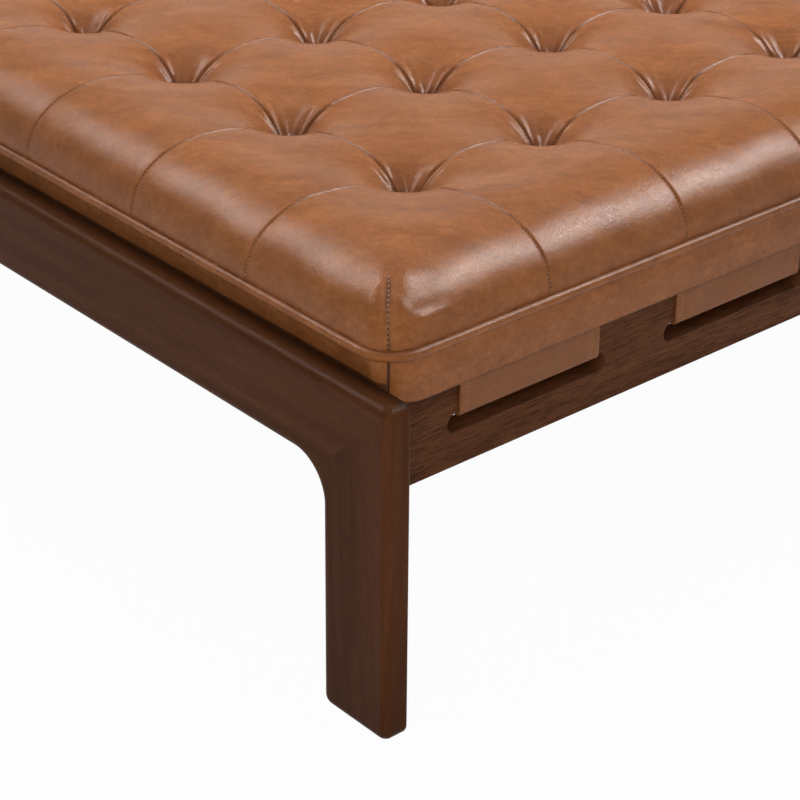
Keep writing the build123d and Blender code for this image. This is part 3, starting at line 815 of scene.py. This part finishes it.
for side in ends + sides:
    flip = -1 if side in ("front", "left") else 1
    if side in ends:
        points = border_band(side_x, side_y, roll_out, roll_out_share, roll_down) * (1, flip, 1)
    else:
        points = border_band(side_y, side_x, -side_draw_in, side_draw_in_share, 0)
        points = points[:, :, (1, 0, 2)] * (flip, 1, 1)
    band = draped_grid("border_band_" + side, points)
    thicken(band, (0, 0, welt_level), band_thickness, band_edge_round)
    # The border darkens at its corner seams, with painted shade at its foot.
    mark_crease_and_shade(band, seam_lines_and_foot_shade(places_of(band)))
    place_piece(band, cushion_leather, "cushion", "cushion_leather", "border_" + side)

# Welt. A cord covered with a bias strip of the leather is sewn in between the top and the border, all
# round the cushion. It stands a little proud of both.
welt_radius = 0.0043
welt_stand_off = 0.0010
welt_sides = 16
welt_step = 0.008
welt_unevenness = 0.035
welt_waves = (41, 17)


def rounded_outline(radius, reach_x, reach_y, straight_step):
    """A rectangle's outline with rounded corners, and its outward directions, once round."""
    spots, outs = [], []
    for quarter, (x, y) in enumerate(((1, 1), (-1, 1), (-1, -1), (1, -1))):
        turn = np.linspace(0, math.pi / 2, 13) + quarter * math.pi / 2
        arc = np.stack([np.cos(turn), np.sin(turn)], axis=1)
        outs.extend(arc)
        spots.extend(np.array((x * reach_x, y * reach_y)) + radius * arc)
        length = 2 * (reach_y if quarter % 2 else reach_x)
        steps = round(length / straight_step)
        start, forward = spots[-1], np.array((-outs[-1][1], outs[-1][0]))
        spots.extend(start + forward * length * k / steps for k in range(1, steps))
        outs.extend([outs[-1]] * (steps - 1))
    return np.array(spots + spots[:1]), np.array(outs + outs[:1])


outline, outline_out = rounded_outline(band_corner_top + welt_stand_off, side_x - band_corner_top,
                                       side_y - band_corner_top, welt_step)
ring = np.linspace(0, 2 * math.pi, welt_sides + 1)
run = np.append(0, np.cumsum(np.linalg.norm(np.diff(outline, axis=0), axis=1)))
wander = np.prod([np.sin(run * 2 * math.pi * waves / run[-1]) for waves in welt_waves], axis=0)
radius = welt_radius * (1 + welt_unevenness * wander)[:, None]
place = np.empty((len(outline), len(ring), 3))
place[:, :, :2] = outline[:, None] + outline_out[:, None] * (radius * np.cos(ring))[:, :, None]
place[:, :, 2] = welt_level + radius * np.sin(ring)
piping = draped_grid("welt_piping", place)
clean_normals(piping, weld=0.00002)
smooth_by_angle(piping, 60)
welt_leather = leather_material("welt_leather", cushion_tones, 0.30, 0.30)
place_piece(piping, welt_leather, "cushion", "welt_leather", "welt")

# Tufted top. Leather panels are sewn edge to edge over wadding and foam, run over the shoulders down to
# the welt, and are drawn down where four of them meet. The corners are darted and sewn.
panel_crown = 0.3903
shoulder_reach = 0.085
shoulder_fullness = 2.15
shoulder_foot = welt_level + 0.006
corner_share_above = 0.28
corner_share_gain = 0.096
tuft_span = 0.25
tuft_pull = 0.0079
tuft_pull_reach = 0.100
pit_on_seam = (0.026, 0.023, 1.8, 0.008, 0.078)
pit_on_panel = (0.028, 0.025, 1.6, 0.006, 0.095)
seam_valley = 0.0030
seam_valley_reach = 0.009
seam_valley_least_share = 0.30
seam_pull_reach = 0.055
seam_groove = 0.0010
seam_groove_reach = 0.0008
seam_lip = 0.0005
seam_lip_place = 0.0022
seam_lip_reach = 0.0012
# Seams get a dark line, darker on the shoulders, with painted shade along the deep creases near the pits.
seam_line_and_shade_darkness = 0.42
seam_crease_reach = 0.0007
# Painted shade at the bottom of each pit and over its far wall.
pit_shade_darkness = 0.9
pit_shade_reach = 0.0085
tuft_shade = 0.5
tuft_shade_reach = 0.017
gather_count = 13
gather_height = 0.0013
gather_place = 0.010
gather_reach = 0.006
# Painted shade in the hollows of the gathers.
gather_shade_darkness = 0.4
pinch_reach = 0.036
pinch_groove = 0.0022
pinch_groove_reach = 0.0016
pinch_lip = 0.0013
pinch_lip_place = 0.0046
pinch_lip_reach = 0.0024
# Painted shade along the deep creases near the pits.
pinch_shade_darkness = 0.55
dart_start = 0.475
dart_lean = 0.0045
dart_valley = 0.0010
dart_valley_reach = 0.0040
dart_groove = 0.0013
dart_groove_reach = 0.0009
# The dart's dark line is partly a seam line and partly painted shade of the seam.
dart_line_and_shade_darkness = 0.8
welt_hold = 0.25
welt_hold_reach = 0.12
cover_random = np.random.default_rng(5)
shoulder_turn = np.linspace(0, math.pi / 2, 300)
shoulder_out = shoulder_reach * np.sin(shoulder_turn) ** (2 / shoulder_fullness)
shoulder_down = (panel_crown - shoulder_foot) * (1 - np.cos(shoulder_turn) ** (2 / shoulder_fullness))
shoulder_out = np.append(shoulder_out, shoulder_reach)
shoulder_down = np.append(shoulder_down, panel_crown - welt_level)
shoulder_run = np.append(0, np.cumsum(np.hypot(np.diff(shoulder_out), np.diff(shoulder_down))))
whole_run = shoulder_run[-1]
flat_x, flat_y = side_x - shoulder_reach, side_y - shoulder_reach


def bare_cover(across, along):
    """The cover with no tufts or seams: points for distances from its middle, measured over the surface."""
    a = np.clip((np.abs(across) - flat_x) / whole_run, 0, 1)
    b = np.clip((np.abs(along) - flat_y) / whole_run, 0, 1)
    ring = np.maximum(a, b)
    lean = np.divide(np.minimum(a, b), ring, out=np.zeros_like(ring), where=ring > 0)
    reach = np.interp(ring * whole_run, shoulder_run, shoulder_out)
    drop = np.interp(ring * whole_run, shoulder_run, shoulder_down)
    radius = (corner_share_above + corner_share_gain * ring ** 2) * reach
    travel = lean * (reach - radius + radius * math.pi / 4)
    turn = np.divide(travel - (reach - radius), radius, out=np.zeros_like(ring), where=radius > 0)
    turn = np.clip(turn, 0, math.pi / 4)
    major = reach - radius + radius * np.cos(turn)
    minor = np.where(turn > 0, reach - radius + radius * np.sin(turn), travel)
    x = np.where(a >= b, flat_x + major, flat_x + minor)
    y = np.where(a >= b, flat_y + minor, flat_y + major)
    x = np.where(a > 0, x, np.abs(across)) * np.sign(across)
    y = np.where(b > 0, y, np.abs(along)) * np.sign(along)
    return np.stack([x, y, panel_crown - drop], axis=-1)


def bare_directions(across, along, reach=0.0015):
    """Outward directions of the bare cover."""
    one = bare_cover(across + reach, along) - bare_cover(across - reach, along)
    other = bare_cover(across, along + reach) - bare_cover(across, along - reach)
    out = np.cross(one, other)
    return out / np.linalg.norm(out, axis=-1)[..., None]


def draw(low, high):
    """A random value between two others."""
    return cover_random.uniform(low, high)


# Each fold has a start, a heading, a length, a width and a depth. Short ones run out of every pit.
tufts = [(x + cover_random.normal(0, 0.0008), y + cover_random.normal(0, 0.0008),
          cover_random.normal(1, 0.05)) for x in tuft_columns for y in tuft_rows]
folds = []
for tuft_x, tuft_y, strength in tufts:
    for quarter in range(4):
        turn = quarter * math.pi / 2
        for side in (-1, 1):
            folds.append((tuft_x, tuft_y, turn + side * draw(0.13, 0.30), draw(0.030, 0.060),
                          draw(0.0018, 0.0030), draw(0.0010, 0.0030)))
        if cover_random.random() < 0.8:
            folds.append((tuft_x, tuft_y, turn + draw(0.5, 1.1), draw(0.022, 0.040), draw(0.002, 0.0035),
                          draw(0.0008, 0.0020)))
corner_folds = ((0.620, 0.4955, 0.0, 0.062, 0.0045, -0.0022), (0.622, 0.4765, 0.114, 0.060, 0.0085, 0.0010),
                (0.606, 0.4600, 0.10, 0.022, 0.0012, -0.0008), (0.6135, 0.4530, 1.50, 0.020, 0.0012, -0.0007),
                (0.611, 0.4660, 0.35, 0.030, 0.0022, 0.0007))
corner_signs = ((-1, -1), (1, -1), (-1, 1), (1, 1))
for x, y in corner_signs:
    for start_x, start_y, heading, length, width, strength in corner_folds:
        turned = math.atan2(-y * math.sin(heading), -x * math.cos(heading))
        share = 1 if x + y < 0 else draw(0.6, 1)
        folds.append((x * start_x, y * start_y, turned, length, width, share * strength))
waves = [(cover_random.uniform(25, 75, 2) * cover_random.choice((-1, 1), 2), draw(0, 6.28),
          draw(0.00008, 0.0002)) for k in range(10)]


def pit(r, depth, reach, steepness, slope, slope_reach):
    """How deep a tuft draws the cover in at a distance from it: a steep pit in a wide gentle slope."""
    return depth * np.exp(-(r / reach) ** steepness) + slope * np.clip(1 - r / slope_reach, 0, 1) ** 1.6


def cover_depth(across, along):
    """How far tufts, seams, folds and slack draw the cover in, and how dark each point is, with painted shade
    in the pits and creases.
    """
    depth, pull, pinch, crease_and_shade = (np.zeros_like(across) for layer in range(4))
    for tuft_x, tuft_y, strength in tufts:
        dx, dy = across - tuft_x, along - tuft_y
        near = np.hypot(dx, dy) < tuft_span
        dx, dy = dx[near], dy[near]
        r = np.hypot(dx, dy)
        panel_share = (np.abs(2 * dx * dy) / np.maximum(r, 1e-6) ** 2) ** 0.85
        depth[near] += strength * pit(r, *pit_on_seam) * (1 - panel_share)
        depth[near] += strength * pit(r, *pit_on_panel) * panel_share
        depth[near] += tuft_pull * bell(r, tuft_pull_reach)
        pull[near] = np.maximum(pull[near], bell(r, seam_pull_reach))
        pinch[near] = np.maximum(pinch[near], bell(r, pinch_reach))
        gather = np.cos(gather_count * np.arctan2(dy, dx) + 40 * tuft_x + 70 * tuft_y)
        gather_here = bell(r - gather_place, gather_reach)
        depth[near] += gather_height * gather * gather_here
        # Painted shade in the pit and in the gathers' hollows.
        shade = tuft_shade * bell(r, tuft_shade_reach) + gather_shade_darkness * np.maximum(gather, 0) * gather_here
        dark = np.maximum(pit_shade_darkness * bell(r, pit_shade_reach), shade)
        crease_and_shade[near] = np.maximum(crease_and_shade[near], dark)
    for fold_x, fold_y, heading, length, width, strength in folds:
        dx, dy = across - fold_x, along - fold_y
        near = np.hypot(dx, dy) < length + 0.01
        run = dx[near] * math.cos(heading) + dy[near] * math.sin(heading)
        off = dy[near] * math.cos(heading) - dx[near] * math.sin(heading)
        rise = eased(np.clip((run - 0.003) / 0.008, 0, 1))
        fade = eased(np.clip((length - run) / (0.7 * length), 0, 1))
        shape = bell(off, width) - 0.5 * bell(np.abs(off) - 2 * width, width)
        depth[near] += strength * rise * fade * shape
    beyond_x = np.clip((np.abs(across) - flat_x) / whole_run, 0, 1)
    beyond_y = np.clip((np.abs(along) - flat_y) / whole_run, 0, 1)
    tightness = seam_valley_least_share + (1 - seam_valley_least_share) * pull
    for places, values, beyond in ((tuft_columns, across, beyond_y), (tuft_rows, along, beyond_x)):
        # Dark seam lines, darker on the shoulders, with painted shade along the deep creases near the pits.
        darkness = seam_line_and_shade_darkness + pinch_shade_darkness * np.maximum(0.5 * np.clip(beyond / 0.3, 0, 1), pinch)
        for middle in places:
            off = np.abs(values - middle)
            depth += seam_valley * tightness * np.exp(-off / seam_valley_reach)
            depth += seam_groove * bell(off, seam_groove_reach)
            depth -= seam_lip * bell(values - middle - seam_lip_place, seam_lip_reach)
            depth += pinch * pinch_groove * bell(off, pinch_groove_reach)
            depth -= pinch * pinch_lip * bell(off - pinch_lip_place, pinch_lip_reach)
            crease_and_shade = np.maximum(crease_and_shade, darkness * bell(off, seam_crease_reach * (1 + 1.5 * pinch)))
    both = np.minimum(beyond_x, beyond_y)
    off = (beyond_x - beyond_y) * whole_run / math.sqrt(2) - dart_lean * (1 - both)
    dart = np.clip((both - dart_start) / 0.03, 0, 1)
    # The dart's groove takes a dark line, partly painted shade.
    groove = dart * bell(off, dart_groove_reach)
    depth += dart * dart_valley * np.exp(-np.abs(off) / dart_valley_reach) + dart_groove * groove
    crease_and_shade = np.maximum(crease_and_shade, dart_line_and_shade_darkness * groove)
    for wave, phase, height in waves:
        depth += height * np.sin(across * wave[0] + along * wave[1] + phase)
    hold = np.clip((1 - np.maximum(beyond_x, beyond_y)) / welt_hold_reach, 0, 1)
    return depth * (welt_hold + (1 - welt_hold) * hold), crease_and_shade


def cover(across, along):
    """Points of the finished cover, its outward directions, and how dark each point is with seam lines and
    painted shade.
    """
    out = bare_directions(across, along)
    depth, crease_and_shade = cover_depth(across, along)
    return bare_cover(across, along) - out * depth[..., None], out, crease_and_shade


def lines_near(half_run, seams, step):
    """Places of the mesh's lines: close beside the seams, and at about one step in between."""
    beside = (0, 0.0007, 0.0016, 0.0028, 0.0042, 0.0058, 0.0076, 0.0098, 0.0124)
    held = sorted({round(s + side * b, 6) for s in seams for b in beside for side in (-1, 1)})
    stops = [-half_run] + held + [half_run]
    lines = [stops[0]]
    for start, end in zip(stops, stops[1:]):
        steps = max(1, round((end - start) / step))
        lines.extend(start + (end - start) * k / steps for k in range(1, steps + 1))
    return np.array(lines)


cover_step = 0.0036
lines_x = lines_near(flat_x + whole_run, tuft_columns, cover_step)
lines_y = lines_near(flat_y + whole_run, tuft_rows, cover_step)
cover_points, out, cover_crease_and_shade = cover(*np.meshgrid(lines_x, lines_y, indexing="ij"))
top = draped_grid("tufted_leather_top", cover_points, cover_crease_and_shade)
bpy.ops.object.mode_set(mode="EDIT")
bpy.ops.mesh.select_all(action="DESELECT")
bpy.ops.mesh.select_non_manifold()
bpy.ops.mesh.extrude_edges_move()
bpy.ops.transform.resize(value=(foam_high.x / side_x, foam_high.y / side_y, 1))
bpy.ops.mesh.extrude_edges_move(TRANSFORM_OT_translate={"value": (0, 0, foam_ceiling + 0.0003 - welt_level)})
bpy.ops.mesh.edge_face_add()
bpy.ops.object.mode_set(mode="OBJECT")
clean_normals(top)
smooth_by_angle(top, 60)
place_piece(top, cushion_leather, "cushion", "cushion_leather", "tufted_top")

# Seam thread. The panels' seams are machine-sewn, so only short stitches show down in them. The darts at
# the corners are closed with light stitches over a dark line that is partly painted shade of the seam, and
# twine crosses in every pit.
seam_stitch_pitch = 0.0034
seam_stitch_lift = 0.0002
dart_stitch_pitch = 0.0040
dart_stitch_lift = 0.0006
knot_reach = 0.003
knot_lift = 0.0006


def sewn_row(across, along, pitch, lift):
    """Stitch points along a line on the cover, a pitch apart, and the directions out of the cover."""
    points, out, crease_and_shade = cover(across, along)
    run = np.append(0, np.cumsum(np.linalg.norm(np.diff(points, axis=0), axis=1)))
    even = np.arange(0, run[-1], pitch)
    points = np.stack([np.interp(even, run, points[:, k]) for k in range(3)], axis=1)
    out = np.stack([np.interp(even, run, out[:, k]) for k in range(3)], axis=1)
    for k, (point, away) in enumerate(zip(points, out)):
        hit, spot = top.ray_cast(Vector(point + 0.01 * away), Vector(-away))[:2]
        if hit:
            points[k] = spot
    return points + lift * out, out


tan_thread = sewing_thread("tan_thread", (0.52, 0.27, 0.14, 1))
dark_thread_and_seam_shade = sewing_thread("dark_thread_and_seam_shade", (0.060, 0.022, 0.009, 1))
seam_rows = []
for middle in tuft_columns:
    along = np.linspace(-flat_y - whole_run, flat_y + whole_run, 1400)
    seam_rows.append(sewn_row(np.full_like(along, middle), along, seam_stitch_pitch, seam_stitch_lift))
for middle in tuft_rows:
    across = np.linspace(-flat_x - whole_run, flat_x + whole_run, 1800)
    seam_rows.append(sewn_row(across, np.full_like(across, middle), seam_stitch_pitch, seam_stitch_lift))
reach = np.linspace(dart_start - 0.01, 0.99, 200) * whole_run
lean = dart_lean * (1 - reach / whole_run) / math.sqrt(2)
dart_rows = [sewn_row(x * (flat_x + reach + lean), y * (flat_y + reach - lean), dart_stitch_pitch, 0.0)
             for x, y in corner_signs]
light_rows = [(points + dart_stitch_lift * out, out) for points, out in dart_rows]
knot_rows = []
for tuft_x, tuft_y, strength in tufts:
    for heading in (0.6, 2.2):
        twine = np.array((-knot_reach, 0, knot_reach))
        points, out, crease_and_shade = cover(tuft_x + twine * math.cos(heading), tuft_y + twine * math.sin(heading))
        knot_rows.append((points + knot_lift * out, out))
# The corner seam line is a row of dark thread along each dart, partly painted shade of the seam.
for name, rows, length, thickness, thread, slot in (
        ("seam_stitching", seam_rows, seam_stitch_pitch * 0.60, 0.0009, tan_thread, "cushion_leather"),
        ("corner_seam_line_and_shade", dart_rows, dart_stitch_pitch * 1.3, 0.0016, dark_thread_and_seam_shade, "cushion_leather"),
        ("corner_stitching", light_rows, dart_stitch_pitch * 0.62, 0.0011, tan_thread, "cushion_leather"),
        ("tuft_stitches", knot_rows, 0.0042, 0.0014, dark_thread_and_seam_shade, "twine")):
    place_piece(stitch_rows(name, rows, length, thickness), thread, "cushion", slot)
